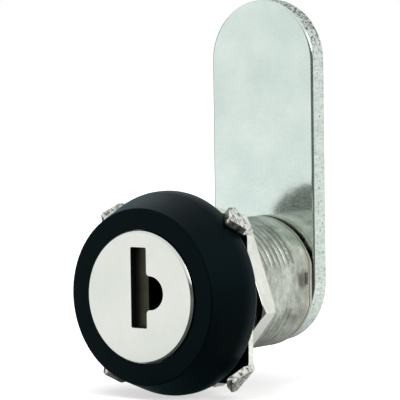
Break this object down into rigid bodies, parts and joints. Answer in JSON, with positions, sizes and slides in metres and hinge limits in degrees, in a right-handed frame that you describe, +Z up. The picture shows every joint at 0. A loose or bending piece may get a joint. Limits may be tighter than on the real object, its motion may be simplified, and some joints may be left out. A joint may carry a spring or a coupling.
{
  "type": "cam lock",
  "caption": "Round-headed cam lock for a furniture door: keyed plug in a threaded barrel turns a straight cam a quarter turn; spur washer and thin hex nut clamp the door.",
  "frame": {"origin": "on the barrel's axis, in the plane of the head's back that seats on the door front", "axes": "+Y along the barrel from the key side to the cam, +Z up along the locked cam, +X to the right seen from the key side"},
  "size_m": [0.0256, 0.0331, 0.0494],
  "materials": {
    "black_plastic": "fine matte, moulded",
    "plated_zinc": "satin nickel plate on a zinc casting",
    "bright_disc": "bright stamped stainless sheet",
    "core_zinc": "as cast, dull",
    "shutter_steel": "dark spring steel",
    "spring_steel": "drawn wire",
    "brass_sheet": "punched sheet",
    "plated_steel": "zinc plate over punched or turned steel"
  },
  "bodies": {
    "housing": {"lock_body": "plated_zinc", "head_collar": "black_plastic"},
    "plug": {"plug": "core_zinc", "plug_face": "bright_disc", "shutter_pin": "spring_steel", "shutter_spring": "spring_steel", "wafer_springs": "spring_steel", "catch_spring": "spring_steel", "cam": "plated_steel", "cam_washer": "plated_steel", "spring_washer": "plated_steel", "cam_screw": "plated_steel"},
    "shutter": {"dust_shutter": "shutter_steel"},
    "wafer_1": {"wafer_1": "brass_sheet"},
    "wafer_2": {"wafer_2": "brass_sheet"},
    "wafer_3": {"wafer_3": "brass_sheet"},
    "wafer_4": {"wafer_4": "brass_sheet"},
    "wafer_5": {"wafer_5": "brass_sheet"},
    "wafer_6": {"wafer_6": "brass_sheet"},
    "catch": {"plug_catch": "brass_sheet"},
    "washer": {"spur_washer": "plated_steel"},
    "nut": {"hex_nut": "plated_steel"}
  },
  "joints": [
    {"name": "plug_turn", "type": "hinge", "parent": "housing", "child": "plug", "pos_m": [0, 0, 0], "axis": [0, 1, 0], "range_deg": [0, 90]},
    {"name": "shutter_swing", "type": "hinge", "parent": "plug", "child": "shutter", "pos_m": [-0.00235, -0.00579, 0], "axis": [0, 0, 1], "range_deg": [0, 88], "stiffness_Nm_per_rad": 0.00002, "springref_deg": -28.65, "deforming": ["shutter_spring"]},
    {"name": "wafer_1_slide", "type": "slide", "parent": "plug", "child": "wafer_1", "axis": [0, 0, 1], "range_m": [0, 0.0007], "deforming": ["wafer_springs"]},
    {"name": "wafer_2_slide", "type": "slide", "parent": "plug", "child": "wafer_2", "axis": [0, 0, -1], "range_m": [0, 0.0007], "deforming": ["wafer_springs"]},
    {"name": "wafer_3_slide", "type": "slide", "parent": "plug", "child": "wafer_3", "axis": [0, 0, 1], "range_m": [0, 0.0007], "deforming": ["wafer_springs"]},
    {"name": "wafer_4_slide", "type": "slide", "parent": "plug", "child": "wafer_4", "axis": [0, 0, -1], "range_m": [0, 0.0007], "deforming": ["wafer_springs"]},
    {"name": "wafer_5_slide", "type": "slide", "parent": "plug", "child": "wafer_5", "axis": [0, 0, 1], "range_m": [0, 0.0007], "deforming": ["wafer_springs"]},
    {"name": "wafer_6_slide", "type": "slide", "parent": "plug", "child": "wafer_6", "axis": [0, 0, -1], "range_m": [0, 0.0007], "deforming": ["wafer_springs"]},
    {"name": "catch_push", "type": "slide", "parent": "plug", "child": "catch", "axis": [1, 0, 0], "range_m": [-0.0009, 0], "stiffness_N_per_m": 100, "springref_m": 0.001, "deforming": ["catch_spring"]},
    {"name": "nut_turn", "type": "hinge", "parent": "washer", "child": "nut", "pos_m": [0, 0, 0], "axis": [0, 1, 0], "range_deg": [-181, 4681]},
    {"name": "washer_travel", "type": "slide", "parent": "housing", "child": "washer", "axis": [0, 1, 0], "range_m": [-0.0005, 0.013]}
  ],
  "couplings": [
    {"joint": "nut_turn", "follows": "washer_travel", "rad_per_m": 6283.2}
  ]
}
